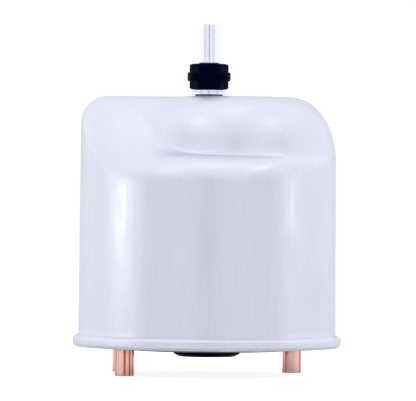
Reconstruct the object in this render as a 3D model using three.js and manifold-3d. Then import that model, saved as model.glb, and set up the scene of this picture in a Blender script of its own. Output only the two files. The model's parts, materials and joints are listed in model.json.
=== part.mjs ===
// Magnetic system filter: a drawn can on three copper tails, with a bleed valve on its crown and a
// magnet stack that draws out of a dry pocket through its base. Millimetres, +Z up. The can's axis is
// the Z axis, z = 0 is the lower end of the tails, and the front is -Y.
import * as THREE from "three";
import { mergeVertices } from "three/addons/utils/BufferGeometryUtils.js";
import Module from "manifold-3d";

const wasm = await Module();
wasm.setup();

const SIDES = 36; // round the can and all that seals to it
const FEW_SIDES = 16; // round the small turned pieces
const SEAT_GAP = 0.1; // between flat faces that rest on each other
const FIT_GAP = 0.3; // round a piece that sits in a hole

// ---- Driving dimensions -----------------------------------------------------------------------

const CAN_BASE_R = 67.7; // outside of the can at its flange
const CAN_TOP_R = CAN_BASE_R - 0.8; // outside of the can where its crown begins
const CAN_HEIGHT = 124.8; // top of the rim to the crown
const SHEET = 1.2; // wall of the can
const FLANGE_WIDTH = 1.3; // how far the can's flange stands out

const LEDGE_DROP = 31.2; // crown to the front ledge
const SHOULDER_ROUND = 14; // outer shoulder of the crown
const SHOULDER_STEEPNESS = 2; // its height over its width where the ledge is narrow
const DOME_SHIFT = 14; // dome's centre, to the right of the can's axis
const DOME_EDGE = 23.6; // width of the dome's rounded edge
const DOME_TO_WALL = 0.4; // dome's foot to the wall where they are closest
const RAMP_FRONT = -53; // y where the ramp leaves the ledge
const RAMP_BACK = -5; // y where the ramp reaches full height
const RAMP_LEFT = 10; // x up to which the ramp is whole
const RAMP_RIGHT = 60; // x where the ramp has died away
const CREASE_FADE = [0.1, 0.9]; // share of the ramp's climb over which its crease fades out

const RIM_WALL = 1.2;
const RIM_ROUND = 1.5;
const RIM_LIP = 4.3; // how far the lower lip reaches in under the plate
const GASKET_THICK = 1.0;
const GASKET_WIDTH = 2.0;
const PLATE_THICK = 1.3;
const PLATE_STEP_DROP = 2.8; // lowered centre of the base plate
const PLATE_STEP_SLOPE = 1.8;

const TAIL_R = 5;
const TAIL_WALL = 0.8;
const TAIL_CIRCLE_R = CAN_BASE_R - 16.2;
const TAIL_BELOW_RIM = 14.3;
const TAIL_INSIDE = 5; // above the base plate
const TAIL_DEGREES = { inlet: -55.6, flush: -118.9, outlet: 118.9 }; // from the front, towards +X
const PLATE_STEP_R = TAIL_CIRCLE_R - TAIL_R - 1.5;
const BRAZE_WIDTH = 2.5;
const BRAZE_HEIGHT = 2;

const ELBOW_RISE = 8;
const ELBOW_BEND_R = 12;
const ELBOW_REACH = 6;
const STANDPIPE_LENGTH = 52;
const STRAINER_R = 11;
const STRAINER_LENGTH = 66;
const STRAINER_WALL = 0.8;
const STRAINER_SLOTS = 8;
const STRAINER_SLOT = 3;
const STRAINER_END = 2.2; // thickness of its base and cap

const POLE_R = 9.8;
const MAGNET_R = POLE_R - 0.2;
const MAGNETS = 4;
const POLE_THICK = 3.5;
const ROD_R = 2.5;
const ROD_HEAD_R = 4;
const ROD_HEAD_THICK = 1.5;
const END_PLATE_THICK = 2;
const CORE_NUT_FLATS = 8;
const CORE_NUT_HEIGHT = 4;
const SLEEVE_CLEARANCE = 0.4; // pole pieces to the pocket's wall
const SLEEVE_WALL = 0.8;
const SLEEVE_ROUND = 4;
const SLEEVE_IN_R = POLE_R + SLEEVE_CLEARANCE;
const SLEEVE_R = SLEEVE_IN_R + SLEEVE_WALL;
const SLEEVE_TO_CROWN = 28.4;
const END_CLEARANCE = 1; // core nut to the rod's end, and the rod's end to the pocket's
const STAY_THICK = 1.5;
const STAY_MARGIN = 4;

const COLLAR_FLANGE_THICK = 2.5;
const COLLAR_HEIGHT = 9.2;
const COLLAR_BORE_R = SLEEVE_R + 1;
const COLLAR_R = COLLAR_BORE_R + 3;
const COLLAR_FLANGE_R = COLLAR_R + 3;
const COLLAR_BORE_DEPTH = 5.2;
const CAP_R = COLLAR_BORE_R + 5.45;
const CAP_THICK = 2.9;
const CAP_CHAMFER = 1.5;
const CAP_CHAMFER_WIDTH = 2.9;
const CAP_SPIGOT = 5.2;
const CAP_SLOT_WIDTH = 2.4;
const CAP_SLOT_DEPTH = 1.2;
const CAP_SLOT_LENGTH = 20;
const CAP_WASHER_THICK = 0.4;
const CAP_WASHER_R = CAP_R - 0.65;
const SPIGOT_CLEARANCE = 0.5;
const O_RING_R = 0.7;
const RETAINER_THICK = 1.5;

const TUBE_R = 5;
const TUBE_WALL = 1;
const TUBE_ABOVE_NUT = 20.8;
const TUBE_INTO_BOSS = 6;
const VENT_PAD_R = TUBE_R + 2.8;
const VENT_PAD_RISE = 0.5;
const BOSS_RING_R = TUBE_R + 3.9;
const BOSS_RING_THICK = 2.4;
const BOSS_LOWER_R = TUBE_R + 1;
const BOSS_LOWER_LENGTH = 12.6;
const BOSS_UPPER_R = TUBE_R + 2.2;
const BOSS_UPPER_LENGTH = 8.6;
const BOSS_WASHER_R = BOSS_UPPER_R;
const BOSS_WASHER_THICK = 0.5;
const AIR_BORE_R = TUBE_R / 2;
const SEAT_DEPTH = 13; // valve seat, below the top of the boss
const BACKNUT_FLATS = 2 * (BOSS_LOWER_R + 2.5);
const BACKNUT_HEIGHT = 4;
const NUT_FLATS = 2 * (TUBE_R + 4.25);
const NUT_HEIGHT = 13.5;
const NUT_CHAMFER = 2;
const NUT_BAND_R = TUBE_R + 6.35;
const NUT_BAND_HEIGHT = 4.7;
const NUT_BAND_RISE = 4.4; // from the nut's lower face
const NUT_CAVITY = 9.4;
const BEAD_RISE = 0.5;
const BEAD_HEIGHT = 2.1;
const VALVE_DISC_R = TUBE_R - 0.4;
const VALVE_DISC_THICK = 2;
const PLUG_FLATS = 2 * (TUBE_R - 1.8);
const PLUG_SPIGOT = 3.5;

// ---- Heights that follow ------------------------------------------------------------------------

const RIM_BOTTOM_Z = TAIL_BELOW_RIM;
const PLATE_Z = RIM_BOTTOM_Z + RIM_WALL + SEAT_GAP;
const PLATE_TOP_Z = PLATE_Z + PLATE_THICK;
const GASKET_Z = PLATE_TOP_Z + SEAT_GAP;
const FLANGE_Z = GASKET_Z + GASKET_THICK + SEAT_GAP;
const FLANGE_TOP_Z = FLANGE_Z + SHEET;
const RIM_TOP_Z = FLANGE_TOP_Z + SEAT_GAP + RIM_WALL;
const CROWN_Z = RIM_TOP_Z + CAN_HEIGHT;
const STEP_Z = PLATE_Z - PLATE_STEP_DROP;

const FLANGE_R = CAN_BASE_R + FLANGE_WIDTH;
const RIM_R = FLANGE_R + FIT_GAP + RIM_WALL;
const DOME_R = CAN_TOP_R - DOME_SHIFT - DOME_TO_WALL;

const TAIL_TOP_Z = PLATE_TOP_Z + TAIL_INSIDE;
const POLE_BORE_R = ROD_R + FIT_GAP;

// ---- Solids -------------------------------------------------------------------------------------

// A closed surface as a manifold-3d solid.
function solidOf(geometry) {
  const bare = geometry.clone();
  bare.deleteAttribute("normal");
  bare.deleteAttribute("uv");
  const merged = mergeVertices(bare, 1e-4);
  return new wasm.Manifold(
    new wasm.Mesh({
      numProp: 3,
      vertProperties: merged.attributes.position.array,
      triVerts: new Uint32Array(merged.index.array),
    }),
  );
}

function geometryOf(solid) {
  const mesh = solid.getMesh();
  const geometry = new THREE.BufferGeometry();
  geometry.setAttribute("position", new THREE.BufferAttribute(mesh.vertProperties, 3));
  geometry.setIndex(new THREE.BufferAttribute(mesh.triVerts, 1));
  geometry.computeVertexNormals();
  return geometry;
}

function minus(geometry, ...tools) {
  const cut = tools.reduce((solid, tool) => solid.subtract(solidOf(tool)), solidOf(geometry));
  return geometryOf(cut);
}

function plus(geometry, ...additions) {
  const joined = additions.reduce((solid, piece) => solid.add(solidOf(piece)), solidOf(geometry));
  return geometryOf(joined);
}

function common(geometry, other) {
  return geometryOf(solidOf(geometry).intersect(solidOf(other)));
}

// A profile of [radius, z] points, turned round the Z axis. One that leaves the axis closes on itself.
function turned(profile, sides = FEW_SIDES) {
  const points = profile.map(([radius, z]) => new THREE.Vector2(radius, z));
  const onAxis = points[0].x === 0 && points.at(-1).x === 0;
  if (!onAxis) points.push(points[0].clone());
  if (THREE.ShapeUtils.area(points) > 0) points.reverse();
  return new THREE.LatheGeometry(points.reverse(), sides).rotateX(Math.PI / 2);
}

function ring(innerR, outerR, bottom, height, sides) {
  const top = bottom + height;
  return turned([[innerR, bottom], [outerR, bottom], [outerR, top], [innerR, top]], sides);
}

function disc(radius, bottom, height, sides) {
  return turned([[0, bottom], [radius, bottom], [radius, bottom + height], [0, bottom + height]], sides);
}

// Points of a quarter turn in a profile, from one angle to another, both in degrees.
function arc(radius, z, round, from, to, steps = 3) {
  return Array.from({ length: steps + 1 }, (_, i) => {
    const angle = THREE.MathUtils.degToRad(THREE.MathUtils.lerp(from, to, i / steps));
    return [radius + round * Math.cos(angle), z + round * Math.sin(angle)];
  });
}

function torus(centreR, sectionR, z, sides) {
  return new THREE.TorusGeometry(centreR, sectionR, 6, sides).translate(0, 0, z);
}

// A hexagonal prism with two corners on the X axis.
function hexPrism(flats, bottom, height) {
  const cornerR = flats / Math.sqrt(3);
  const prism = new THREE.CylinderGeometry(cornerR, cornerR, height, 6).rotateX(Math.PI / 2);
  return prism.rotateZ(Math.PI / 2).translate(0, 0, bottom + height / 2);
}

// Direction in plan, from the front (-Y) towards +X.
function planDirection(degrees) {
  const angle = THREE.MathUtils.degToRad(degrees);
  return new THREE.Vector2(Math.sin(angle), -Math.cos(angle));
}

const tailPlace = Object.fromEntries(
  Object.entries(TAIL_DEGREES).map(([name, degrees]) => {
    const place = planDirection(degrees).multiplyScalar(TAIL_CIRCLE_R);
    return [name, place];
  }),
);

// ---- Materials ----------------------------------------------------------------------------------

function material(color, roughness, metalness) {
  return new THREE.MeshStandardMaterial({ color, roughness, metalness });
}

const SATIN_CAN = [0xd3d4e6, 0.35, 0.75];
const BRIGHT = [0xe8e8f0, 0.15, 1];
const STAINLESS = [0xc4c6cc, 0.3, 0.9];
const STEEL = [0x9a9ca2, 0.4, 0.9];
const COPPER = [0xd98a6c, 0.3, 0.9];
const BRAZE = [0xc9a15c, 0.4, 0.8];
const BLACK = [0x11111c, 0.3, 0.1];
const RUBBER = [0x1c1c1e, 0.8, 0];
const FIBRE = [0x9c3a2c, 0.7, 0];
const NICKEL = [0xd9d6cc, 0.2, 1];

const filter = new THREE.Group();

function add(name, geometry, look, place = new THREE.Vector2()) {
  const mesh = new THREE.Mesh(geometry, material(...look));
  mesh.name = name;
  mesh.position.set(place.x, place.y, 0);
  filter.add(mesh);
}

// ---- Can ----------------------------------------------------------------------------------------

// How far the ramp has climbed at a point, from 0 on the ledge to 1 at full height.
function rampShare(x, y) {
  const climb = THREE.MathUtils.smoothstep(y, RAMP_FRONT, RAMP_BACK);
  return climb * (1 - THREE.MathUtils.smoothstep(x, RAMP_LEFT, RAMP_RIGHT));
}

// How much of its height the dome has at a point. Its foot is sharp on the ledge and soft on the ramp.
function domeShare(x, y) {
  const outOfTop = Math.hypot(x - DOME_SHIFT, y) - (DOME_R - DOME_EDGE);
  const beyond = THREE.MathUtils.clamp(outOfTop / DOME_EDGE, 0, 1);
  const sharp = Math.sqrt(1 - beyond * beyond);
  const soft = 1 - THREE.MathUtils.smoothstep(beyond, 0, 1);
  const fade = THREE.MathUtils.smoothstep(rampShare(x, y), ...CREASE_FADE);
  return THREE.MathUtils.lerp(sharp, soft, fade);
}

// Radius at which the dome's foot crosses the direction of a point, from the can's axis.
function domeFootR(x, y) {
  const across = (DOME_SHIFT * x) / Math.max(Math.hypot(x, y), 1e-6);
  return across + Math.sqrt(DOME_R ** 2 - DOME_SHIFT ** 2 + across ** 2);
}

// The outer shoulder: as wide as the ledge allows, and wider where the ramp has climbed.
function shoulderWidth(x, y) {
  const ledge = THREE.MathUtils.clamp(CAN_TOP_R - domeFootR(x, y), 1, SHOULDER_ROUND);
  return THREE.MathUtils.lerp(ledge, SHOULDER_ROUND, rampShare(x, y));
}

function crownZ(x, y) {
  const level = CROWN_Z - LEDGE_DROP * (1 - domeShare(x, y)) * (1 - rampShare(x, y));
  const width = shoulderWidth(x, y);
  const height = Math.min(SHOULDER_ROUND, SHOULDER_STEEPNESS * width);
  const bent = THREE.MathUtils.clamp((Math.hypot(x, y) - (CAN_TOP_R - width)) / width, 0, 1);
  return level - height * (1 - Math.sqrt(1 - bent * bent));
}

// Outward normal of the crown, level with the ground where the crown meets the wall.
function crownNormal(x, y) {
  const radius = Math.hypot(x, y);
  if (radius > CAN_TOP_R - 1e-3) return new THREE.Vector3(x / radius, y / radius, 0);
  const step = 0.05;
  const slopeX = (crownZ(x + step, y) - crownZ(x - step, y)) / (2 * step);
  const slopeY = (crownZ(x, y + step) - crownZ(x, y - step)) / (2 * step);
  return new THREE.Vector3(-slopeX, -slopeY, 1).normalize();
}

// Distances from the dome's centre to the crown's rows, towards one point of the wall: over the dome's
// top, round its edge, across the ledge and round the shoulder.
function crownDistances(wall) {
  const centre = new THREE.Vector2(DOME_SHIFT, 0);
  const reach = wall.distanceTo(centre);
  const along = wall.clone().sub(centre).divideScalar(reach).dot(centre);
  const towardsRadius = (radius) =>
    Math.sqrt(along ** 2 + radius ** 2 - DOME_SHIFT ** 2) - along;
  const width = shoulderWidth(wall.x, wall.y);
  const topR = DOME_R - DOME_EDGE;
  const rows = [topR / 2];
  for (let i = 0; i <= 6; i++) rows.push(topR + DOME_EDGE * Math.sin((i * Math.PI) / 12.5));
  const shoulderStart = towardsRadius(CAN_TOP_R - width);
  for (const share of [0.33, 0.67]) rows.push(THREE.MathUtils.lerp(DOME_R, shoulderStart, share));
  for (let i = 0; i < 5; i++) {
    const radius = CAN_TOP_R - width * (1 - Math.sin((i * Math.PI) / 10));
    rows.push(towardsRadius(radius));
  }
  return rows.sort((a, b) => a - b).map((row) => Math.min(row / reach, 0.998));
}

function makeCan() {
  const columns = Array.from({ length: SIDES }, (_, i) =>
    planDirection((i * 360) / SIDES).multiplyScalar(CAN_TOP_R),
  );
  const centre = new THREE.Vector2(DOME_SHIFT, 0);
  const outside = columns.map((wall) => {
    const shares = [...crownDistances(wall), 1];
    return shares.map((share) => {
      const at = centre.clone().lerp(wall, share);
      return new THREE.Vector3(at.x, at.y, crownZ(at.x, at.y));
    });
  });
  const inside = outside.map((column) =>
    column.map((point) => point.clone().addScaledVector(crownNormal(point.x, point.y), -SHEET)),
  );
  // The wall and flange below each column, down the outside and back up the inside.
  const foot = [
    [CAN_BASE_R, FLANGE_TOP_Z],
    [FLANGE_R, FLANGE_TOP_Z],
    [FLANGE_R, FLANGE_Z],
    [CAN_BASE_R - SHEET, FLANGE_Z],
  ];
  const rings = columns.map((wall, i) => {
    const out = wall.clone().normalize();
    const footPoints = foot.map(([radius, z]) => new THREE.Vector3(out.x * radius, out.y * radius, z));
    return [...outside[i], ...footPoints, ...inside[i].toReversed()];
  });
  const peak = new THREE.Vector3(DOME_SHIFT, 0, crownZ(DOME_SHIFT, 0));
  return skin(peak, rings, peak.clone().setZ(peak.z - SHEET));
}

// A closed surface over columns of points that all start at one pole and end at the other.
function skin(first, columns, last) {
  const rows = columns[0].length;
  const points = [first, ...columns.flat(), last];
  const lastIndex = points.length - 1;
  const faces = [];
  columns.forEach((_, i) => {
    const here = 1 + i * rows;
    const next = 1 + ((i + 1) % columns.length) * rows;
    faces.push(0, here, next);
    for (let row = 0; row < rows - 1; row++) {
      faces.push(here + row, here + row + 1, next + row + 1);
      faces.push(here + row, next + row + 1, next + row);
    }
    faces.push(lastIndex, next + rows - 1, here + rows - 1);
  });
  const geometry = new THREE.BufferGeometry().setFromPoints(points);
  return geometry.setIndex(faces);
}

function addCan() {
  const pad = disc(VENT_PAD_R, CROWN_Z - SHEET / 2, SHEET / 2 + VENT_PAD_RISE);
  const hole = disc(BOSS_LOWER_R + FIT_GAP, CROWN_Z - 3 * SHEET, 6 * SHEET);
  add("canister_shell", minus(plus(makeCan(), pad), hole), SATIN_CAN);
}

// ---- Base ---------------------------------------------------------------------------------------

function addBase() {
  const rimInside = FLANGE_R + FIT_GAP;
  const rimProfile = [
    [rimInside - RIM_LIP, RIM_BOTTOM_Z],
    ...arc(RIM_R - RIM_ROUND, RIM_BOTTOM_Z + RIM_ROUND, RIM_ROUND, -90, 0),
    ...arc(RIM_R - RIM_ROUND, RIM_TOP_Z - RIM_ROUND, RIM_ROUND, 0, 90),
    [CAN_BASE_R + FIT_GAP, RIM_TOP_Z],
    [CAN_BASE_R + FIT_GAP, RIM_TOP_Z - RIM_WALL],
    [rimInside, RIM_TOP_Z - RIM_WALL],
    [rimInside, RIM_BOTTOM_Z + RIM_WALL],
    [rimInside - RIM_LIP, RIM_BOTTOM_Z + RIM_WALL],
  ];
  add("rim_ring", turned(rimProfile, SIDES), SATIN_CAN);
  add("body_gasket", ring(FLANGE_R - GASKET_WIDTH, FLANGE_R, GASKET_Z, GASKET_THICK, SIDES), RUBBER);

  const collarHole = COLLAR_R + FIT_GAP;
  const underside = [
    [collarHole, STEP_Z],
    [PLATE_STEP_R, STEP_Z],
    [PLATE_STEP_R + PLATE_STEP_SLOPE, PLATE_Z],
    [FLANGE_R, PLATE_Z],
  ];
  const topside = underside.map(([radius, z]) => [radius, z + PLATE_THICK]).toReversed();
  const tailHoles = Object.values(tailPlace).map((place) =>
    disc(TAIL_R + FIT_GAP, RIM_BOTTOM_Z, TAIL_TOP_Z - RIM_BOTTOM_Z).translate(place.x, place.y, 0),
  );
  add("base_plate", minus(turned([...underside, ...topside], SIDES), ...tailHoles), STAINLESS);
}

// ---- Pipework -----------------------------------------------------------------------------------

function addTails() {
  for (const [name, place] of Object.entries(tailPlace)) {
    add(name + "_tail", ring(TAIL_R - TAIL_WALL, TAIL_R, 0, TAIL_TOP_Z), COPPER, place);
    const brazeR = TAIL_R + FIT_GAP;
    const brazeProfile = [
      [brazeR, GASKET_Z],
      [brazeR + BRAZE_WIDTH, GASKET_Z],
      [brazeR + BRAZE_WIDTH / 2, GASKET_Z + BRAZE_HEIGHT],
      [brazeR, GASKET_Z + BRAZE_HEIGHT],
    ];
    add(name + "_braze_ring", turned(brazeProfile), BRAZE, place);
  }
}

// Turns the inlet flow sideways, so that it circles the magnet pocket.
function addInletElbow() {
  const bottom = TAIL_TOP_Z + FIT_GAP;
  const sideways = planDirection(TAIL_DEGREES.inlet + 90);
  const point = (out, z) => new THREE.Vector3(sideways.x * out, sideways.y * out, z);
  const bendZ = bottom + ELBOW_RISE;
  const path = new THREE.CurvePath();
  path.add(new THREE.LineCurve3(point(0, bottom), point(0, bendZ)));
  const corner = point(0, bendZ + ELBOW_BEND_R);
  const outlet = point(ELBOW_BEND_R, bendZ + ELBOW_BEND_R);
  path.add(new THREE.QuadraticBezierCurve3(point(0, bendZ), corner, outlet));
  path.add(new THREE.LineCurve3(outlet, point(ELBOW_BEND_R + ELBOW_REACH, outlet.z)));
  const section = new THREE.Shape().absarc(0, 0, TAIL_R, 0, 2 * Math.PI);
  section.holes.push(new THREE.Path().absarc(0, 0, TAIL_R - TAIL_WALL, 0, 2 * Math.PI));
  const elbow = new THREE.ExtrudeGeometry(section, { steps: 10, curveSegments: 6, extrudePath: path });
  add("inlet_elbow", elbow, COPPER, tailPlace.inlet);
}

function addStrainer() {
  const place = tailPlace.outlet;
  const standpipeZ = TAIL_TOP_Z + SEAT_GAP;
  add("outlet_standpipe", ring(TAIL_R - TAIL_WALL, TAIL_R, standpipeZ, STANDPIPE_LENGTH), COPPER, place);

  const baseZ = GASKET_Z + BRAZE_HEIGHT + SEAT_GAP;
  const cageZ = baseZ + STRAINER_END + SEAT_GAP;
  const endR = STRAINER_R + 1.5;
  add("strainer_base", ring(TAIL_R + FIT_GAP, endR, baseZ, STRAINER_END), STAINLESS, place);

  const slotLength = STRAINER_LENGTH * 0.8;
  const slots = Array.from({ length: STRAINER_SLOTS / 2 }, (_, i) =>
    new THREE.BoxGeometry(3 * STRAINER_R, STRAINER_SLOT, slotLength)
      .rotateZ((i * 2 * Math.PI) / STRAINER_SLOTS)
      .translate(0, 0, cageZ + STRAINER_LENGTH / 2),
  );
  const cage = ring(STRAINER_R - STRAINER_WALL, STRAINER_R, cageZ, STRAINER_LENGTH);
  add("strainer_cage", minus(cage, ...slots), STAINLESS, place);

  const capZ = cageZ + STRAINER_LENGTH + SEAT_GAP;
  add("strainer_cap", disc(endR, capZ, STRAINER_END), STAINLESS, place);
  addStay(capZ + STRAINER_END + SEAT_GAP);
}

// A strap from the strainer's cap to a hole round the magnet pocket.
function addStay(bottom) {
  const far = tailPlace.outlet;
  const outline = new THREE.Shape();
  const endR = SLEEVE_R + STAY_MARGIN;
  const start = Math.atan2(far.y, far.x) + Math.PI / 2;
  outline.absarc(0, 0, endR, start, start + Math.PI);
  outline.absarc(far.x, far.y, STRAINER_R, start + Math.PI, start + 2 * Math.PI);
  outline.holes.push(new THREE.Path().absarc(0, 0, SLEEVE_R + FIT_GAP, 0, 2 * Math.PI));
  const options = { depth: STAY_THICK, bevelEnabled: false, curveSegments: 16 };
  const stay = new THREE.ExtrudeGeometry(outline, options).translate(0, 0, bottom);
  add("sleeve_stay", stay, STAINLESS);
}

// ---- Magnet pocket ------------------------------------------------------------------------------

const collarTopZ = STEP_Z + COLLAR_HEIGHT;
const pocketMouthZ = STEP_Z + COLLAR_BORE_DEPTH;
const capTopZ = STEP_Z - CAP_WASHER_THICK - 2 * SEAT_GAP;
const spigotTopZ = capTopZ + CAP_SPIGOT;
const endPlateZ = spigotTopZ + FIT_GAP;
const stackZ = endPlateZ + END_PLATE_THICK + SEAT_GAP;
const sleeveTopZ = CROWN_Z - SLEEVE_TO_CROWN;
const rodTopZ = sleeveTopZ - SLEEVE_WALL - END_CLEARANCE;
const stackTopZ = rodTopZ - END_CLEARANCE - CORE_NUT_HEIGHT;
const magnetPitch = (stackTopZ - SEAT_GAP - POLE_THICK - stackZ) / MAGNETS;
const magnetLength = magnetPitch - POLE_THICK - 2 * SEAT_GAP;

function addPocket() {
  const flangeZ = STEP_Z + PLATE_THICK + SEAT_GAP;
  const collarProfile = [
    [COLLAR_BORE_R, STEP_Z],
    [COLLAR_R, STEP_Z],
    [COLLAR_R, flangeZ],
    [COLLAR_FLANGE_R, flangeZ],
    [COLLAR_FLANGE_R, flangeZ + COLLAR_FLANGE_THICK],
    [COLLAR_R, flangeZ + COLLAR_FLANGE_THICK],
    [COLLAR_R, collarTopZ],
    [SLEEVE_R + FIT_GAP, collarTopZ],
    [SLEEVE_R + FIT_GAP, pocketMouthZ],
    [COLLAR_BORE_R, pocketMouthZ],
  ];
  add("pocket_collar", turned(collarProfile, SIDES), STEEL);

  const innerTopZ = sleeveTopZ - SLEEVE_WALL;
  const innerRound = SLEEVE_ROUND - SLEEVE_WALL;
  const mouthZ = pocketMouthZ + FIT_GAP;
  const sleeveProfile = [
    [0, sleeveTopZ],
    ...arc(SLEEVE_R - SLEEVE_ROUND, sleeveTopZ - SLEEVE_ROUND, SLEEVE_ROUND, 90, 0),
    [SLEEVE_R, mouthZ],
    [SLEEVE_IN_R, mouthZ],
    ...arc(SLEEVE_IN_R - innerRound, innerTopZ - innerRound, innerRound, 0, 90),
    [0, innerTopZ],
  ];
  add("magnet_sleeve", turned(sleeveProfile), STAINLESS);
}

function addMagnetCore() {
  const headZ = capTopZ + FIT_GAP + 0.5;
  const rodProfile = [
    [0, headZ],
    [ROD_HEAD_R, headZ],
    [ROD_HEAD_R, headZ + ROD_HEAD_THICK],
    [ROD_R, headZ + ROD_HEAD_THICK],
    [ROD_R, rodTopZ],
    [0, rodTopZ],
  ];
  add("magnet_rod", turned(rodProfile), STAINLESS);
  add("core_end_plate", ring(POLE_BORE_R, POLE_R, endPlateZ, END_PLATE_THICK), STEEL);
  for (let i = 0; i <= MAGNETS; i++) {
    const poleZ = stackZ + i * magnetPitch;
    add("pole_piece_" + (i + 1), ring(POLE_BORE_R, POLE_R, poleZ, POLE_THICK), STEEL);
    const magnetZ = poleZ + POLE_THICK + SEAT_GAP;
    const magnet = ring(POLE_BORE_R, MAGNET_R, magnetZ, magnetLength);
    if (i < MAGNETS) add("magnet_" + (i + 1), magnet, NICKEL);
  }
  const nut = hexPrism(CORE_NUT_FLATS, stackTopZ, CORE_NUT_HEIGHT);
  const nutBore = disc(POLE_BORE_R, stackTopZ - 1, CORE_NUT_HEIGHT + 2);
  add("core_nut", minus(nut, nutBore), STEEL);

  const retainerZ = headZ + ROD_HEAD_THICK + FIT_GAP;
  const boreR = ROD_HEAD_R + FIT_GAP;
  add("swivel_retainer", ring(POLE_BORE_R, boreR, retainerZ, RETAINER_THICK), STEEL);
  addCap(boreR + SEAT_GAP);
}

function addCap(boreR) {
  const bottom = capTopZ - CAP_THICK;
  const spigotR = COLLAR_BORE_R - SPIGOT_CLEARANCE;
  const grooveZ = capTopZ + CAP_SPIGOT / 2;
  const grooveHalf = O_RING_R + SEAT_GAP;
  const grooveR = spigotR - 2 * O_RING_R + FIT_GAP - SEAT_GAP;
  const capProfile = [
    [0, bottom],
    [CAP_R - CAP_CHAMFER_WIDTH, bottom],
    [CAP_R, bottom + CAP_CHAMFER],
    [CAP_R, capTopZ],
    [spigotR, capTopZ],
    [spigotR, grooveZ - grooveHalf],
    [grooveR, grooveZ - grooveHalf],
    [grooveR, grooveZ + grooveHalf],
    [spigotR, grooveZ + grooveHalf],
    [spigotR, spigotTopZ],
    [boreR, spigotTopZ],
    [boreR, capTopZ + FIT_GAP],
    [0, capTopZ + FIT_GAP],
  ];
  const slot = new THREE.BoxGeometry(CAP_SLOT_LENGTH, CAP_SLOT_WIDTH, 2 * CAP_SLOT_DEPTH);
  add("magnet_cap", minus(turned(capProfile, SIDES), slot.translate(0, 0, bottom)), BLACK);
  add("cap_o_ring", torus(grooveR + O_RING_R + SEAT_GAP, O_RING_R, grooveZ, SIDES), RUBBER);
  const washer = ring(COLLAR_BORE_R, CAP_WASHER_R, capTopZ + SEAT_GAP, CAP_WASHER_THICK, SIDES);
  add("cap_washer", washer, FIBRE);
}

// ---- Bleed valve --------------------------------------------------------------------------------

const washerZ = CROWN_Z + VENT_PAD_RISE + SEAT_GAP;
const bossZ = washerZ + BOSS_WASHER_THICK + SEAT_GAP;
const bossRingTopZ = bossZ + BOSS_RING_THICK;
const bossTopZ = bossRingTopZ + BOSS_UPPER_LENGTH;
const seatZ = bossTopZ - SEAT_DEPTH;
const nutZ = bossRingTopZ + FIT_GAP;
const nutTopZ = nutZ + NUT_HEIGHT;
const oRingCavity = 2 * O_RING_R + 2 * SEAT_GAP;

function addBoss() {
  const boreR = TUBE_R + FIT_GAP + SEAT_GAP;
  const cavityR = boreR + 2 * O_RING_R - FIT_GAP;
  const profile = [
    [AIR_BORE_R, bossZ - BOSS_LOWER_LENGTH],
    [BOSS_LOWER_R, bossZ - BOSS_LOWER_LENGTH],
    [BOSS_LOWER_R, bossZ],
    [BOSS_RING_R, bossZ],
    [BOSS_RING_R, bossRingTopZ],
    [BOSS_UPPER_R, bossRingTopZ],
    [BOSS_UPPER_R, bossTopZ],
    [cavityR, bossTopZ],
    [cavityR, bossTopZ - oRingCavity],
    [boreR, bossTopZ - oRingCavity],
    [boreR, seatZ],
    [AIR_BORE_R, seatZ],
  ];
  add("vent_boss", turned(profile), BRIGHT);
  const washer = ring(BOSS_LOWER_R + FIT_GAP, BOSS_WASHER_R, washerZ, BOSS_WASHER_THICK);
  add("boss_washer", washer, RUBBER);
  const backnutZ = CROWN_Z - SHEET - FIT_GAP - BACKNUT_HEIGHT;
  const backnutBore = disc(BOSS_LOWER_R + FIT_GAP, backnutZ - 1, BACKNUT_HEIGHT + 2);
  add("boss_backnut", minus(hexPrism(BACKNUT_FLATS, backnutZ, BACKNUT_HEIGHT), backnutBore), STEEL);
  const oRingR = (TUBE_R + cavityR) / 2;
  const oRing = torus(oRingR, O_RING_R - SEAT_GAP, bossTopZ - oRingCavity / 2, FEW_SIDES);
  add("vent_o_ring", oRing, RUBBER);
}

function addVentNut() {
  const cornerR = NUT_FLATS / Math.sqrt(3);
  const chamfered = turned([
    [0, nutZ],
    [cornerR - NUT_CHAMFER, nutZ],
    [cornerR, nutZ + NUT_CHAMFER],
    [cornerR, nutTopZ - NUT_CHAMFER],
    [cornerR - NUT_CHAMFER, nutTopZ],
    [0, nutTopZ],
  ]);
  const band = disc(NUT_BAND_R, nutZ + NUT_BAND_RISE, NUT_BAND_HEIGHT, SIDES);
  const body = plus(common(hexPrism(NUT_FLATS, nutZ, NUT_HEIGHT), chamfered), band);
  const cavity = turned([
    [0, nutZ - 1],
    [BOSS_UPPER_R + FIT_GAP, nutZ - 1],
    [BOSS_UPPER_R + FIT_GAP, nutZ + NUT_CAVITY],
    [TUBE_R + FIT_GAP, nutZ + NUT_CAVITY],
    [TUBE_R + FIT_GAP, nutTopZ + 1],
    [0, nutTopZ + 1],
  ]);
  add("vent_nut", minus(body, cavity), BLACK);
}

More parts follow.
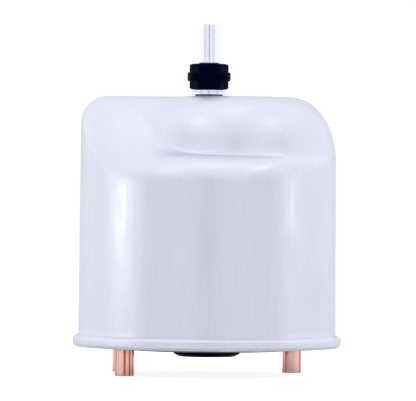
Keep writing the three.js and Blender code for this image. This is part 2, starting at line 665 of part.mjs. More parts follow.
function addVentStem() {
  const beadZ = nutTopZ + FIT_GAP;
  const tubeTopZ = nutTopZ + TUBE_ABOVE_NUT;
  const tubeZ = bossTopZ - TUBE_INTO_BOSS;
  const innerR = TUBE_R - TUBE_WALL;
  const profile = [
    [innerR, tubeZ],
    [TUBE_R, tubeZ],
    [TUBE_R, beadZ],
    [TUBE_R + BEAD_RISE, beadZ],
    [TUBE_R + BEAD_RISE, beadZ + BEAD_HEIGHT],
    [TUBE_R, beadZ + BEAD_HEIGHT],
    [TUBE_R, tubeTopZ],
    [innerR, tubeTopZ],
  ];
  add("vent_tube", turned(profile), BRIGHT);

  const faceZ = seatZ + FIT_GAP;
  add("valve_disc", disc(VALVE_DISC_R, faceZ, VALVE_DISC_THICK), RUBBER);
  const plugZ = faceZ + VALVE_DISC_THICK + SEAT_GAP;
  const plug = turned([
    [0, plugZ],
    [TUBE_R, plugZ],
    [TUBE_R, tubeZ - SEAT_GAP],
    [innerR - FIT_GAP, tubeZ - SEAT_GAP],
    [innerR - FIT_GAP, tubeZ + PLUG_SPIGOT],
    [0, tubeZ + PLUG_SPIGOT],
  ]);
  const flats = new THREE.BoxGeometry(PLUG_FLATS, PLUG_FLATS, 4 * SEAT_DEPTH).translate(0, 0, plugZ);
  add("valve_plug", common(plug, flats), STAINLESS);
}

addCan();
addBase();
addTails();
addInletElbow();
addStrainer();
addPocket();
addMagnetCore();
addBoss();
addVentNut();
addVentStem();

export default filter;
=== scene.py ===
import json
import math

import bmesh
import bpy
from mathutils import Euler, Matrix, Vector


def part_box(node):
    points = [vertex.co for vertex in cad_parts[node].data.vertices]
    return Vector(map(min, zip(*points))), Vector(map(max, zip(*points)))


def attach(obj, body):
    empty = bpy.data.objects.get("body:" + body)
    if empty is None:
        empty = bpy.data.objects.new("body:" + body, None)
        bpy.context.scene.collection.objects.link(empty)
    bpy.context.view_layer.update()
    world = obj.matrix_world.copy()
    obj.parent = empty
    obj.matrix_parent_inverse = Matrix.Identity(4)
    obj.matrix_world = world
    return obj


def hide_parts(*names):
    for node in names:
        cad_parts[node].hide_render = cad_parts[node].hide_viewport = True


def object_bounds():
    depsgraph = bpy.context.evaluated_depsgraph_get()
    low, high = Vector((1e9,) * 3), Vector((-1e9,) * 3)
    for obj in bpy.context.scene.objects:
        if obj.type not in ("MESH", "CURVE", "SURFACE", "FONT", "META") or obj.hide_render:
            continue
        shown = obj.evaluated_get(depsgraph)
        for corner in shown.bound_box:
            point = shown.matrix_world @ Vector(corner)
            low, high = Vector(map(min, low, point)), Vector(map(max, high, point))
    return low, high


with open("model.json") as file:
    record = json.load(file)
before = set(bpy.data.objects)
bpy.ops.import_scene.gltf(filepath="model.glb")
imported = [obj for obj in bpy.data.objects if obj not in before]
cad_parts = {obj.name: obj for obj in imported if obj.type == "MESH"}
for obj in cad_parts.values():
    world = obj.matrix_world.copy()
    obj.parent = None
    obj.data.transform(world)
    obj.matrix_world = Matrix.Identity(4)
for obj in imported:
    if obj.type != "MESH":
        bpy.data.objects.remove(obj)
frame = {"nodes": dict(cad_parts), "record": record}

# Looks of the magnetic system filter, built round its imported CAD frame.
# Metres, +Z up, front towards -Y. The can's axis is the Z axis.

MM = 0.001
TURN = 2 * math.pi
FINE = 160  # sides of the large turned pieces
SMALL = 72  # sides of the small ones
ARC_STEPS = 4  # pieces of a rounded corner
CAD_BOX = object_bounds()


# ---- Shape helpers ------------------------------------------------------------------------------


def smoothstep(value, low, high):
    share = min(max((value - low) / (high - low), 0), 1)
    return share * share * (3 - 2 * share)


def mix(a, b, share):
    return a + (b - a) * share


def make_object(name, points, faces, sharp_degrees=35):
    mesh = bpy.data.meshes.new(name)
    mesh.from_pydata(points, [], faces)
    work = bmesh.new()
    work.from_mesh(mesh)
    bmesh.ops.remove_doubles(work, verts=work.verts, dist=1e-7)
    bmesh.ops.recalc_face_normals(work, faces=work.faces)
    work.to_mesh(mesh)
    work.free()
    mesh.shade_smooth()
    mesh.set_sharp_from_angle(angle=math.radians(sharp_degrees))
    piece = bpy.data.objects.new(name, mesh)
    bpy.context.collection.objects.link(piece)
    return piece


def finish_piece(piece, body, slot, material, *nodes):
    piece.data.materials.clear()
    piece.data.materials.append(material)
    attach(piece, body)
    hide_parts(*nodes)
    return piece


def rounded(outline, size, closed):
    """The outline with each corner turned into a short arc, no longer than half its shorter side."""
    corners = [Vector(point) for point in outline]
    result = []
    for i, corner in enumerate(corners):
        if not closed and i in (0, len(corners) - 1):
            result.append(tuple(corner))
            continue
        before = corners[i - 1] - corner
        after = corners[(i + 1) % len(corners)] - corner
        cut = min(size, before.length * 0.45, after.length * 0.45)
        start = corner + before.normalized() * cut
        end = corner + after.normalized() * cut
        for step in range(ARC_STEPS + 1):
            t = step / ARC_STEPS
            bend = start * (1 - t) ** 2 + corner * 2 * t * (1 - t) + end * t**2
            result.append(tuple(bend))
    return result


def skin_rows(name, rows, closed, sharp_degrees=35):
    """A closed surface over rings of points. Rings that don't close on themselves are capped."""
    sides = len(rows[0])
    points = [point for row in rows for point in row]
    count = len(rows)
    faces = []
    for row in range(count if closed else count - 1):
        here = row * sides
        above = ((row + 1) % count) * sides
        for side in range(sides):
            other = (side + 1) % sides
            faces.append((here + side, here + other, above + other, above + side))
    if not closed:
        faces.append(tuple(range(sides)))
        faces.append(tuple(range((count - 1) * sides, count * sides)))
    return make_object(name, points, faces, sharp_degrees)


def turned(name, profile, sides=SMALL, centre=(0, 0), edge=0.0):
    """A profile of (radius, z), turned round a vertical axis. Radii of zero make an open profile."""
    on_axis = profile[0][0] == 0
    if edge:
        profile = rounded(profile, edge, closed=not on_axis)
    if on_axis:
        tiny = 1e-5
        profile = [(max(radius, tiny), z) for radius, z in profile]
    rows = []
    for radius, z in profile:
        angles = (TURN * side / sides for side in range(sides))
        rows.append(
            [(centre[0] + radius * math.sin(a), centre[1] - radius * math.cos(a), z) for a in angles]
        )
    return skin_rows(name, rows, closed=not on_axis)


def cut_with(piece, cutters):
    """Cuts the cutters out of a piece and deletes them."""
    for cutter in cutters:
        modifier = piece.modifiers.new("cut", "BOOLEAN")
        modifier.operation = "DIFFERENCE"
        modifier.object = cutter
        modifier.solver = "EXACT"
    graph = bpy.context.evaluated_depsgraph_get()
    cut = bpy.data.meshes.new_from_object(piece.evaluated_get(graph))
    piece.modifiers.clear()
    piece.data = cut
    piece.data.shade_smooth()
    piece.data.set_sharp_from_angle(angle=math.radians(35))
    for cutter in cutters:
        bpy.data.objects.remove(cutter)


# ---- Camera, stage and light --------------------------------------------------------------------

CAN_LO, CAN_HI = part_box("canister_shell")
RIM_LO, RIM_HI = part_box("rim_ring")

CAMERA_DISTANCE = 2.1
CAMERA_HEIGHT = 91.1 * MM
VIEW_WIDTH = 218.4 * MM  # width of the picture at the can's axis
SENSOR = 36.0
CAMERA_ROLL = -0.5  # degrees


def add_camera():
    data = bpy.data.cameras.new("camera")
    data.sensor_width = SENSOR
    data.lens = SENSOR * CAMERA_DISTANCE / VIEW_WIDTH
    data.clip_end = 20
    camera = bpy.data.objects.new("camera", data)
    camera.location = (0, -CAMERA_DISTANCE, CAMERA_HEIGHT)
    camera.rotation_euler = Euler((math.pi / 2, math.radians(CAMERA_ROLL), 0))
    bpy.context.collection.objects.link(camera)
    bpy.context.scene.camera = camera


def add_softbox(name, azimuth, distance, height, size, power):
    """A rectangular lamp that faces the can. Azimuth is from the front, towards +X."""
    data = bpy.data.lights.new(name, "AREA")
    data.shape = "RECTANGLE"
    data.size, data.size_y = size
    data.energy = power
    lamp = bpy.data.objects.new(name, data)
    angle = math.radians(azimuth)
    lamp.location = (distance * math.sin(angle), -distance * math.cos(angle), height)
    aim = Vector((0, 0, (CAN_LO.z + CAN_HI.z) / 2)) - lamp.location
    lamp.rotation_euler = aim.to_track_quat("-Z", "Y").to_euler()
    bpy.context.collection.objects.link(lamp)


FLOOR_GLOW = (0.28, 0.85)  # towards the can and towards the camera


def add_stage():
    floor_z = CAD_BOX[0].z - 0.2 * MM
    sweep = 6.0
    corners = ((-sweep, -sweep), (sweep, -sweep), (sweep, sweep), (-sweep, sweep))
    floor = make_object("floor", [(x, y, floor_z) for x, y in corners], [(0, 1, 2, 3)])
    floor.data.materials.append(floor_material())


def floor_material():
    """A pale matt floor, white to the camera and dimmer as a light on the can."""
    material, nodes, links, shader = new_material("floor_white")
    grain = noise(nodes, links, 40)
    color = blend_colors(nodes, links, grain, (0.50, 0.50, 0.51), (0.54, 0.54, 0.55))
    links.new(color, shader.inputs["Base Color"])
    shader.inputs["Roughness"].default_value = 0.9
    shader.inputs["Emission Color"].default_value = (1, 1, 1, 1)
    path = nodes.new("ShaderNodeLightPath")
    glow = stretch_range(nodes, links, path.outputs["Is Camera Ray"], 0, 1, *FLOOR_GLOW)
    links.new(glow, shader.inputs["Emission Strength"])
    return material


# Brightness of the room by azimuth in degrees, from the front, towards +X.
ROOM = (
    (-180, 0.70), (-160, 0.85), (-130, 1.22), (-105, 1.08), (-78, 1.12), (-57, 0.76), (-46, 0.82),
    (-32, 0.96), (-6, 0.95), (0, 0.05), (6, 0.95),
    (32, 0.96), (46, 0.86), (57, 0.78), (78, 1.08), (105, 1.08), (130, 1.18), (160, 0.85), (180, 0.70),
)
ROOM_TINT = (0.98, 0.99, 1.05)
OVERHEAD = 1.12
BACKDROP = 1.05  # what the camera sees behind the part


def add_world():
    """A white room for the camera. Everything else sees a room with soft brighter and darker sides."""
    world = bpy.data.worlds.new("studio")
    world.use_nodes = True
    bpy.context.scene.world = world
    nodes, links = world.node_tree.nodes, world.node_tree.links
    nodes.clear()
    coordinates = nodes.new("ShaderNodeTexCoord")
    split = nodes.new("ShaderNodeSeparateXYZ")
    links.new(coordinates.outputs["Generated"], split.inputs[0])
    front = math_node(nodes, links, "MULTIPLY", split.outputs["Y"], -1)
    azimuth = math_node(nodes, links, "ARCTAN2", split.outputs["X"], front)
    turn_share = math_node(nodes, links, "MULTIPLY_ADD", azimuth, 1 / TURN, 0.5)
    ramp = nodes.new("ShaderNodeValToRGB")
    ramp.color_ramp.interpolation = "EASE"
    stops = ramp.color_ramp.elements
    for degrees, grey in ROOM:
        position = degrees / 360 + 0.5
        stop = stops[0] if degrees == -180 else stops[-1] if degrees == 180 else stops.new(position)
        stop.color = (*(grey * tint for tint in ROOM_TINT), 1)
    links.new(turn_share, ramp.inputs[0])
    height = stretch_range(nodes, links, split.outputs["Z"], 0.25, 0.85, 0, 1)
    overhead = tuple(OVERHEAD * tint for tint in ROOM_TINT)
    color = blend_colors(nodes, links, height, ramp.outputs["Color"], overhead)
    room = nodes.new("ShaderNodeBackground")
    links.new(color, room.inputs["Color"])
    seen = nodes.new("ShaderNodeBackground")
    seen.inputs["Color"].default_value = (1, 1, 1, 1)
    seen.inputs["Strength"].default_value = BACKDROP
    path = nodes.new("ShaderNodeLightPath")
    choose = nodes.new("ShaderNodeMixShader")
    links.new(path.outputs["Is Camera Ray"], choose.inputs[0])
    links.new(room.outputs[0], choose.inputs[1])
    links.new(seen.outputs[0], choose.inputs[2])
    out = nodes.new("ShaderNodeOutputWorld")
    links.new(choose.outputs[0], out.inputs["Surface"])


# ---- Materials ----------------------------------------------------------------------------------


def new_material(name):
    material = bpy.data.materials.new(name)
    material.use_nodes = True
    nodes, links = material.node_tree.nodes, material.node_tree.links
    return material, nodes, links, nodes["Principled BSDF"]


def math_node(nodes, links, operation, value, *numbers):
    node = nodes.new("ShaderNodeMath")
    node.operation = operation
    links.new(value, node.inputs[0])
    for i, number in enumerate(numbers, start=1):
        if isinstance(number, (int, float)):
            node.inputs[i].default_value = number
        else:
            links.new(number, node.inputs[i])
    return node.outputs[0]


def noise(nodes, links, scale, stretch=(1, 1, 1), detail=3.0):
    """Noise over the object's own coordinates, in metres. Scale counts features per metre."""
    coordinates = nodes.new("ShaderNodeTexCoord")
    mapping = nodes.new("ShaderNodeMapping")
    mapping.inputs["Scale"].default_value = stretch
    texture = nodes.new("ShaderNodeTexNoise")
    texture.inputs["Scale"].default_value = scale
    texture.inputs["Detail"].default_value = detail
    links.new(coordinates.outputs["Object"], mapping.inputs["Vector"])
    links.new(mapping.outputs["Vector"], texture.inputs["Vector"])
    return texture.outputs["Fac"]


def stretch_range(nodes, links, value, low, high, out_low, out_high):
    node = nodes.new("ShaderNodeMapRange")
    node.inputs["From Min"].default_value = low
    node.inputs["From Max"].default_value = high
    node.inputs["To Min"].default_value = out_low
    node.inputs["To Max"].default_value = out_high
    links.new(value, node.inputs["Value"])
    return node.outputs["Result"]


def blend_colors(nodes, links, share, low, high):
    node = nodes.new("ShaderNodeMix")
    node.data_type = "RGBA"
    sockets = [socket for socket in node.inputs if socket.type == "RGBA"]
    for socket, color in zip(sockets, (low, high)):
        if isinstance(color, tuple):
            socket.default_value = (*color, 1)
        else:
            links.new(color, socket)
    links.new(share, node.inputs["Factor"])
    return next(socket for socket in node.outputs if socket.type == "RGBA")


def add_bump(nodes, links, shader, layers):
    """Bump layers of (height, distance in metres, strength), laid on top of each other."""
    normal = None
    for height, distance, strength in layers:
        bump = nodes.new("ShaderNodeBump")
        bump.inputs["Distance"].default_value = distance
        bump.inputs["Strength"].default_value = strength
        links.new(height, bump.inputs["Height"])
        if normal is not None:
            links.new(normal, bump.inputs["Normal"])
        normal = bump.outputs["Normal"]
    links.new(normal, shader.inputs["Normal"])


def pointiness_mask(nodes, links, low=0.52, high=0.62):
    """From 0 on flats to 1 on convex edges, or to 1 in creases if high is under low."""
    geometry = nodes.new("ShaderNodeNewGeometry")
    return stretch_range(nodes, links, geometry.outputs["Pointiness"], low, high, 0, 1)


def metal(name, dark, light, roughness, grain, streaks, metallic=1.0, wear=None, lines=None, coat=0.0):
    """Plated or drawn metal: grain, streaks, cloudy gloss, painted shade in creases and paler worn
    edges.

    Grain is in features per metre, streaks along each axis. Lines is a band of the same kind with
    its own colour: a painted dark reflection.
    """
    material, nodes, links, shader = new_material(name)
    shader.inputs["Metallic"].default_value = metallic
    shader.inputs["Coat Weight"].default_value = coat
    shader.inputs["Coat Roughness"].default_value = 0.10
    cloud = noise(nodes, links, 35, detail=4)
    fine = noise(nodes, links, grain, detail=2)
    drawn = noise(nodes, links, 1.0, stretch=streaks, detail=3)
    half_fine = stretch_range(nodes, links, fine, 0.3, 0.7, 0.05, 0.4)
    tone = math_node(nodes, links, "MULTIPLY_ADD", drawn, 0.55, half_fine)
    color = blend_colors(nodes, links, tone, dark, light)
    # Painted reflection: dark streaks laid into the base colour.
    if lines is not None:
        band = noise(nodes, links, 1.0, stretch=lines[0], detail=1)
        share = stretch_range(nodes, links, band, 0.52, 0.60, 0, 0.95)
        color = blend_colors(nodes, links, share, color, lines[1])
    # Painted shade: concave creases are darkened to six tenths of the dark colour.
    painted_crease_shade = tuple(channel * 0.6 for channel in dark)
    color = blend_colors(nodes, links, pointiness_mask(nodes, links, 0.49, 0.42), color, painted_crease_shade)
    if wear is not None:
        color = blend_colors(nodes, links, pointiness_mask(nodes, links), color, wear)
    links.new(color, shader.inputs["Base Color"])
    rough = stretch_range(nodes, links, cloud, 0.35, 0.65, roughness * 0.85, roughness * 1.2)
    links.new(rough, shader.inputs["Roughness"])
    add_bump(nodes, links, shader, [(drawn, 0.02 * MM, 0.35), (fine, 0.04 * MM, 0.35)])
    return material


def moulded(name, dark, light, roughness, grain, ior=1.5, gloss_tint=(1, 1, 1)):
    """Moulded plastic, rubber or fibre: fine pitting, cloudy gloss and paler edges, which are partly
    dust and partly a painted highlight.
    """
    material, nodes, links, shader = new_material(name)
    shader.inputs["IOR"].default_value = ior
    shader.inputs["Specular Tint"].default_value = (*gloss_tint, 1)
    cloud = noise(nodes, links, 120, detail=4)
    fine = noise(nodes, links, grain, detail=3)
    color = blend_colors(nodes, links, cloud, dark, light)
    # Paler convex edges: dust on the rubber and fibre, a painted blue highlight on the black moulding's
    # edges.
    dust_and_edge_highlight = tuple(channel * 3 for channel in light)
    color = blend_colors(nodes, links, pointiness_mask(nodes, links), color, dust_and_edge_highlight)
    links.new(color, shader.inputs["Base Color"])
    rough = stretch_range(nodes, links, fine, 0.3, 0.7, roughness * 0.8, roughness * 1.25)
    links.new(rough, shader.inputs["Roughness"])
    add_bump(nodes, links, shader, [(fine, 0.03 * MM, 0.3)])
    return material


MATERIALS = {
    "satin_can": metal(
        "satin_plate", (0.64, 0.65, 0.73), (0.79, 0.80, 0.875), 0.38, 2000, (700, 700, 40), 0.95,
        wear=(0.88, 0.88, 0.92), coat=0.2,
    ),
    "plated_steel": metal(
        "dark_plate", (0.14, 0.14, 0.15), (0.26, 0.25, 0.26), 0.36, 3000, (120, 120, 120)
    ),
    "stainless": metal("stainless", (0.52, 0.53, 0.56), (0.72, 0.73, 0.76), 0.28, 3200, (600, 600, 30)),
    "pole_steel": metal(
        "ground_steel", (0.26, 0.27, 0.30), (0.42, 0.43, 0.46), 0.38, 2500, (60, 60, 1800)
    ),
    "nickel_magnet": metal(
        "nickel_plate", (0.62, 0.60, 0.55), (0.80, 0.78, 0.72), 0.20, 2500, (90, 90, 400)
    ),
    "copper": metal(
        "drawn_copper", (0.92, 0.42, 0.30), (1.0, 0.80, 0.72), 0.26, 2200, (1300, 1300, 12),
        # The dark red lines are painted reflections on the tails.
        wear=(1.0, 0.84, 0.78), lines=((420, 420, 4), (0.55, 0.035, 0.01)),
    ),
    "braze": metal("braze_metal", (0.55, 0.38, 0.20), (0.80, 0.62, 0.36), 0.42, 1600, (300, 300, 300)),
    "bright_plate": metal(
        "bright_plate", (0.80, 0.81, 0.88), (0.94, 0.94, 0.98), 0.12, 3500, (500, 500, 14),
        wear=(0.97, 0.97, 1.0),
    ),
    # Its paler bluish edges are a painted highlight.
    "black_plastic": moulded(
        "black_moulding", (0.0005, 0.0005, 0.003), (0.002, 0.002, 0.020), 0.24, 1500, ior=1.06,
        gloss_tint=(0.25, 0.3, 1.0),
    ),
    "rubber": moulded("nitrile_rubber", (0.012, 0.012, 0.014), (0.03, 0.03, 0.033), 0.62, 1800),
    "red_fibre": moulded("vulcanised_fibre", (0.34, 0.07, 0.04), (0.52, 0.15, 0.09), 0.7, 2600),
}


# ---- Can ----------------------------------------------------------------------------------------

SHEET = 1.2 * MM
FLANGE_WIDTH = 1.3 * MM
DRAFT = 0.8 * MM  # the wall leans in by this much over its height
CAN_BASE_R = CAN_HI.x - FLANGE_WIDTH
CAN_TOP_R = CAN_BASE_R - DRAFT
VENT_PAD_RISE = 0.5 * MM
CROWN_Z = CAN_HI.z - VENT_PAD_RISE
LEDGE_DROP = 31.2 * MM
SHOULDER_ROUND = 14 * MM
SHOULDER_STEEPNESS = 2  # its height over its width where the ledge is narrow
DOME_SHIFT = 14 * MM
DOME_EDGE = 23.6 * MM
DOME_TO_WALL = 0.4 * MM
DOME_R = CAN_TOP_R - DOME_SHIFT - DOME_TO_WALL
RAMP_Y = (-53 * MM, -5 * MM)
RAMP_X = (10 * MM, 60 * MM)
DOME_FILLET = (0.96, 1.08)  # where the fillet at its foot starts and ends, in shares of its edge
CREASE_FADE = (0.1, 0.9)  # share of the ramp's climb over which its crease fades out
COLUMNS = 288


def ramp_share(x, y):
    return smoothstep(y, *RAMP_Y) * (1 - smoothstep(x, *RAMP_X))


def dome_profile(beyond):
    """Height over the ledge, beyond the flat top: part of an ellipse, then a steep fillet."""
    start, end = DOME_FILLET
    if beyond <= start:
        return math.sqrt(1 - max(beyond, 0) ** 2)
    along = min((beyond - start) / (end - start), 1)
    height = math.sqrt(1 - start**2)
    slope = -start / height * (end - start)
    return (height * (1 + 2 * along) + slope * along) * (1 - along) ** 2


def dome_share(x, y):
    """How much of its height the dome has: its foot is sharp on the ledge and soft on the ramp."""
    out_of_top = math.hypot(x - DOME_SHIFT, y) - (DOME_R - DOME_EDGE)
    beyond = out_of_top / DOME_EDGE
    soft = 1 - smoothstep(beyond, 0, 1)
    return mix(dome_profile(beyond), soft, smoothstep(ramp_share(x, y), *CREASE_FADE))


def dome_foot_r(x, y):
    across = DOME_SHIFT * x / max(math.hypot(x, y), 1e-9)
    return across + math.sqrt(DOME_R**2 - DOME_SHIFT**2 + across**2)


def shoulder_width(x, y):
    ledge = min(max(CAN_TOP_R - dome_foot_r(x, y), 1 * MM), SHOULDER_ROUND)
    return mix(ledge, SHOULDER_ROUND, ramp_share(x, y))


def crown_z(x, y):
    level = CROWN_Z - LEDGE_DROP * (1 - dome_share(x, y)) * (1 - ramp_share(x, y))
    width = shoulder_width(x, y)
    height = min(SHOULDER_ROUND, SHOULDER_STEEPNESS * width)
    bent = min(max((math.hypot(x, y) - (CAN_TOP_R - width)) / width, 0), 1)
    return level - height * (1 - math.sqrt(1 - bent * bent))


def crown_column(wall, over_dome, over_ledge):
    """Points of the crown from the dome's centre out to one point of the wall, closer at the bends."""
    centre = Vector((DOME_SHIFT, 0))
    reach = (wall - centre).length
    rows = [(DOME_R - DOME_EDGE) * share for share in (0.02, 0.25, 0.5, 0.75)]
    for step in range(over_dome + 1):
        rows.append(DOME_R - DOME_EDGE * (1 - math.sin(math.pi / 2 * step / (over_dome + 0.3))))
    for step in range(1, over_ledge + 1):
        rows.append(mix(DOME_R, reach, (1 - math.cos(math.pi * step / over_ledge)) / 2))
    points = [centre.lerp(wall, row / reach) for row in rows]
    return [Vector((p.x, p.y, crown_z(p.x, p.y))) for p in points]


FOOT_ROUND = 1.2 * MM  # from the wall out to the flange


def wall_outline(start):
    """Radius and z down the outside of the wall, round the flange and back up inside."""
    turn_z = CAN_LO.z + SHEET + FOOT_ROUND
    outline = []
    for step in range(1, 25):
        share = step / 24
        outline.append((mix(CAN_TOP_R, CAN_BASE_R, share), mix(start, turn_z, share)))
    for step in range(1, 5):
        bend = math.pi / 2 * step / 4
        radius = min(CAN_BASE_R + FOOT_ROUND * (1 - math.cos(bend)), CAN_HI.x)
        outline.append((radius, turn_z - FOOT_ROUND * math.sin(bend)))
    outline += [(CAN_HI.x, CAN_LO.z + SHEET), (CAN_HI.x, CAN_LO.z), (CAN_BASE_R - SHEET, CAN_LO.z)]
    outline.append((CAN_TOP_R - SHEET, start - SHEET))
    return outline


def build_can():
    centre = Vector((DOME_SHIFT, 0))
    columns = []
    for i in range(COLUMNS):
        angle = TURN * i / COLUMNS
        out = Vector((math.sin(angle), -math.cos(angle)))
        column = crown_column(out * CAN_TOP_R, 26, 30)
        start = column[-1].z
        column += [Vector((*(out * radius), z)) for radius, z in wall_outline(start)]
        under = centre.lerp(out * (CAN_TOP_R - SHEET), 0.85)
        column.append(Vector((*under, min(start, crown_z(*under)) - 3 * SHEET)))
        columns.append(column)
    rows = [[tuple(column[row]) for column in columns] for row in range(len(columns[0]))]
    return skin_rows("can", rows, closed=False, sharp_degrees=50)


def build_vent_pad():
    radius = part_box("boss_washer")[1].x + 0.6 * MM
    profile = [
        (0, CROWN_Z - SHEET), (radius + 0.8 * MM, CROWN_Z - SHEET), (radius + 0.8 * MM, CROWN_Z),
        (radius, CROWN_Z + VENT_PAD_RISE), (0, CROWN_Z + VENT_PAD_RISE),
    ]
    return turned("vent_pad", profile, edge=0.35 * MM)


def add_can():
    can = build_can()
    finish_piece(can, "canister", "satin_can", MATERIALS["satin_can"], "canister_shell")
    pad = build_vent_pad()
    pad.data.materials.append(MATERIALS["satin_can"])
    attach(pad, "canister")


# ---- Base ---------------------------------------------------------------------------------------

RIM_WALL = 1.2 * MM
RIM_ROUND = 1.5 * MM
GAP = 0.3 * MM


def add_rim():
    outer, inner = RIM_HI.x, CAN_HI.x + GAP
    lip = inner - 4.3 * MM
    top, bottom = RIM_HI.z, RIM_LO.z
    wall_top = CAN_BASE_R + GAP
    profile = [
        (lip, bottom), (outer - RIM_ROUND, bottom), (outer, bottom + RIM_ROUND),
        (outer, top - RIM_ROUND), (outer - RIM_ROUND, top), (wall_top, top),
        (wall_top, top - RIM_WALL), (inner, top - RIM_WALL), (inner, bottom + RIM_WALL),
        (lip, bottom + RIM_WALL),
    ]
    rim = turned("rim", profile, FINE, edge=0.45 * MM)
    finish_piece(rim, "canister", "satin_can", MATERIALS["satin_can"], "rim_ring")


def add_plate():
    lo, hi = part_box("base_plate")
    collar_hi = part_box("pocket_collar")[1]
    thick = 1.3 * MM
    hole = collar_hi.x - 3 * MM + GAP
    step_r, slope = 45 * MM, 1.8 * MM
    under_z = hi.z - thick
    profile = [
        (hole, lo.z), (step_r, lo.z), (step_r + slope, under_z), (hi.x, under_z),
        (hi.x, hi.z), (step_r + slope, hi.z), (step_r, lo.z + thick), (hole, lo.z + thick),
    ]
    plate = turned("plate", profile, FINE, edge=0.9 * MM)
    cutters = []
    for tail in TAILS:
        tail_lo, tail_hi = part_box(tail)
        centre = (tail_lo + tail_hi) / 2
        radius = (tail_hi.x - tail_lo.x) / 2 + GAP
        hole_profile = [(0, lo.z - MM), (radius, lo.z - MM), (radius, hi.z + MM), (0, hi.z + MM)]
        cutters.append(turned("cutter", hole_profile, SMALL, (centre.x, centre.y)))
    cut_with(plate, cutters)
    finish_piece(plate, "canister", "plated_steel", MATERIALS["plated_steel"], "base_plate")


TAILS = ("inlet_tail", "flush_tail", "outlet_tail")
TAIL_WALL = 0.8 * MM


def add_tails():
    for tail in TAILS:
        lo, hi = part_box(tail)
        centre = (lo + hi) / 2
        radius = (hi.x - lo.x) / 2
        bore = radius - TAIL_WALL
        flare = 0.25 * MM
        profile = [
            (bore, lo.z + flare), (bore + flare, lo.z), (radius - flare, lo.z), (radius, lo.z + flare),
            (radius, hi.z), (bore, hi.z),
        ]
        tube = turned(tail + "_tube", profile, SMALL, (centre.x, centre.y), edge=0.12 * MM)
        finish_piece(tube, "canister", "copper", MATERIALS["copper"], tail)


def add_ring(name, node, body, slot, bore, edge, sides=SMALL):
    """A plain ring with broken edges in a CAD node's place. Bore radius and edge are in mm."""
    lo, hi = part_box(node)
    centre = (lo + hi) / 2
    radius = (hi.x - lo.x) / 2
    profile = [(bore * MM, lo.z), (radius, lo.z), (radius, hi.z), (bore * MM, hi.z)]
    piece = turned(name, profile, sides, (centre.x, centre.y), edge=edge * MM)
    return finish_piece(piece, body, slot, MATERIALS[slot], node)


def add_cap():
    lo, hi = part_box("magnet_cap")
    disc_top = lo.z + 2.9 * MM
    radius = hi.x
    spigot, head_bore = 11.5 * MM, 4.6 * MM
    floor_top = disc_top + GAP
    profile = [
        (0, lo.z), (radius - 2.9 * MM, lo.z), (radius, lo.z + 1.5 * MM), (radius, disc_top),
        (spigot, disc_top), (spigot, hi.z), (head_bore, hi.z), (head_bore, floor_top), (0, floor_top),
    ]
    cap = turned("cap", profile, FINE, edge=0.4 * MM)
    slot_size = Vector((20, 2.4, 2.4)) * MM
    cutter = rounded_bar("cutter", slot_size, lo.z)
    cut_with(cap, [cutter])
    finish_piece(cap, "magnet_cap", "black_plastic", MATERIALS["black_plastic"], "magnet_cap")


def rounded_bar(name, size, z):
    """A bar with round ends along X, centred on the axis at height z."""
    half, radius = size.x / 2 - size.y / 2, size.y / 2
    outline = []
    for side, start in ((1, -90), (-1, 90)):
        for step in range(13):
            angle = math.radians(start + 180 * step / 12)
            outline.append((side * half + radius * math.cos(angle), radius * math.sin(angle)))
    rows = [[(x, y, z + level) for x, y in outline] for level in (-size.z / 2, size.z / 2)]
    return skin_rows(name, rows, closed=False)


# ---- Bleed valve --------------------------------------------------------------------------------


def hex_radius(angle, flats, corner_round):
    """Distance from the axis to a hexagon with softened corners, two of them on the X axis."""
    from_flat = (angle + TURN / 12) % (TURN / 6) - TURN / 12
    straight = flats / 2 / math.cos(from_flat)
    limit = flats / math.sqrt(3) - corner_round
    softness = 0.15 * MM
    return (straight + limit - math.hypot(straight - limit, softness)) / 2


def add_vent_nut():
    lo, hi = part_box("vent_nut")
    band_r = hi.x
    flats = 18.5 * MM
    corner = flats / math.sqrt(3)
    band_low, band_high = lo.z + 4.4 * MM, lo.z + 9.1 * MM
    chamfer = 2.2 * MM
    cavity_r, bore_r = 7.5 * MM, 5.3 * MM
    cavity_top = lo.z + 9.4 * MM
    soft = 0.7 * MM

    def hex_row(z, limit=corner):
        return lambda angle: (min(hex_radius(angle, flats, 0.45 * MM), limit), z)

    def round_row(z, radius):
        return lambda angle: (radius, z)

    rows = [round_row(cavity_top, cavity_r), round_row(lo.z + 0.3 * MM, cavity_r)]
    rows.append(round_row(lo.z, cavity_r + 0.3 * MM))
    for step in range(9):
        bend = math.pi / 2 * step / 8
        limit = corner - chamfer * (1 - math.sin(bend))
        rows.append(hex_row(lo.z + chamfer * (1 - math.cos(bend)), limit))
    rows += [hex_row(band_low - 1 * MM), hex_row(band_low)]
    for start, centre_z in ((-90, band_low + soft), (0, band_high - soft)):
        for step in range(6):
            angle = math.radians(start + 90 * step / 5)
            radius = band_r - soft * (1 - math.cos(angle))
            rows.append(round_row(centre_z + soft * math.sin(angle), radius))
    rows += [hex_row(band_high), hex_row(band_high + 0.6 * MM)]
    for step in range(8, -1, -1):
        bend = math.pi / 2 * step / 8
        limit = corner - chamfer * (1 - math.sin(bend))
        rows.append(hex_row(hi.z - chamfer * (1 - math.cos(bend)), limit))
    rows += [round_row(hi.z, bore_r + 0.4 * MM), round_row(hi.z - 0.4 * MM, bore_r)]
    rows.append(round_row(cavity_top, bore_r))
    sides = 180
    rings = []
    for row in rows:
        ring = []
        for side in range(sides):
            angle = TURN * side / sides
            radius, z = row(angle)
            ring.append((radius * math.sin(angle), -radius * math.cos(angle), z))
        rings.append(ring)
    nut = skin_rows("vent_hex_nut", rings, closed=True, sharp_degrees=40)
    finish_piece(nut, "vent_nut", "black_plastic", MATERIALS["black_plastic"], "vent_nut")


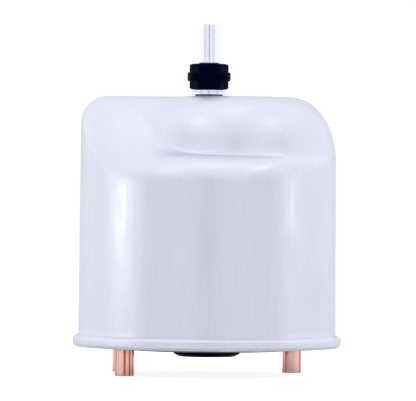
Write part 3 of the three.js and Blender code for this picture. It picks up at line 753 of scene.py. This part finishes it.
def add_vent_boss():
    lo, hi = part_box("vent_boss")
    ring_low = lo.z + 12.6 * MM
    ring_high = ring_low + 2.4 * MM
    ring_r, lower_r, upper_r = hi.x, 6 * MM, 7.2 * MM
    seat_bore, guide_bore, seat_z = 2.5 * MM, 5.4 * MM, hi.z - 13 * MM
    groove, half_groove = 0.35 * MM, 0.3 * MM
    middle = (ring_low + ring_high) / 2
    profile = [
        (seat_bore, lo.z), (lower_r, lo.z), (lower_r, ring_low), (ring_r, ring_low),
        (ring_r, middle - half_groove), (ring_r - groove, middle), (ring_r, middle + half_groove),
        (ring_r, ring_high), (upper_r, ring_high), (upper_r, hi.z), (guide_bore, hi.z),
        (guide_bore, seat_z), (seat_bore, seat_z),
    ]
    boss = turned("boss", profile, 120, edge=0.25 * MM)
    finish_piece(boss, "canister", "bright_plate", MATERIALS["bright_plate"], "vent_boss")


def add_vent_tube():
    lo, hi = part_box("vent_tube")
    nut_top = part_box("vent_nut")[1].z
    radius = hi.x - 0.5 * MM
    bore = radius - 1 * MM
    bead_low = nut_top + GAP
    bead_high = bead_low + 2.1 * MM
    profile = [
        (bore, lo.z), (radius, lo.z), (radius, bead_low), (hi.x, bead_low), (hi.x, bead_high),
        (radius, bead_high), (radius, hi.z), (bore, hi.z),
    ]
    tube = turned("bleed_tube", profile, 120, edge=0.3 * MM)
    finish_piece(tube, "vent_stem", "bright_plate", MATERIALS["bright_plate"], "vent_tube")


# ---- Magnet stack and the rest ------------------------------------------------------------------


def add_magnet_core():
    rod_bore = 2.8
    for i in range(1, 6):
        add_ring(f"pole_{i}", f"pole_piece_{i}", "magnet_core", "pole_steel", rod_bore, 0.4)
    for i in range(1, 5):
        add_ring(f"magnet_ring_{i}", f"magnet_{i}", "magnet_core", "nickel_magnet", rod_bore, 0.5)
    add_ring("end_plate", "core_end_plate", "magnet_core", "pole_steel", rod_bore, 0.3)


def add_pocket():
    lo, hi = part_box("pocket_collar")
    flange_low = lo.z + 1.4 * MM
    flange_high = flange_low + 2.5 * MM
    body_r, bore, mouth = 15 * MM, 12 * MM, lo.z + 5.2 * MM
    sleeve_bore = 11.3 * MM
    profile = [
        (bore, lo.z), (body_r, lo.z), (body_r, flange_low), (hi.x, flange_low), (hi.x, flange_high),
        (body_r, flange_high), (body_r, hi.z), (sleeve_bore, hi.z), (sleeve_bore, mouth), (bore, mouth),
    ]
    collar = turned("collar", profile, FINE, edge=0.3 * MM)
    finish_piece(collar, "canister", "plated_steel", MATERIALS["plated_steel"], "pocket_collar")


def dress_frame_nodes():
    """The CAD nodes that stay take the same materials by their slots."""
    slots = {row["node"]: row["material_slot"] for row in frame["record"]["subparts"]}
    for name, node in frame["nodes"].items():
        node.data.materials.clear()
        node.data.materials.append(MATERIALS[slots[name]])


add_camera()
add_world()
add_stage()
add_softbox("left_softbox", -75, 0.42, 0.094, (0.02, 0.028), 0.045)
add_softbox("right_softbox", 75, 0.42, 0.095, (0.012, 0.015), 0.012)
add_softbox("left_shoulder_softbox", -44, 0.42, 0.50, (0.05, 0.03), 0.045)
add_softbox("right_shoulder_softbox", 50, 0.42, 0.50, (0.05, 0.03), 0.036)
add_softbox("top_softbox", 0, 0.35, 1.6, (0.5, 0.5), 0.25)
dress_frame_nodes()
add_can()
add_rim()
add_plate()
add_tails()
add_cap()
add_ring("fibre_washer", "cap_washer", "magnet_cap", "red_fibre", 12, 0.1, FINE)
add_ring("washer_of_boss", "boss_washer", "canister", "rubber", 6.3, 0.15)
add_vent_nut()
add_vent_boss()
add_vent_tube()
add_magnet_core()
add_pocket()

# The plain transform keeps the white surroundings white.
bpy.context.scene.view_settings.view_transform = "Standard"
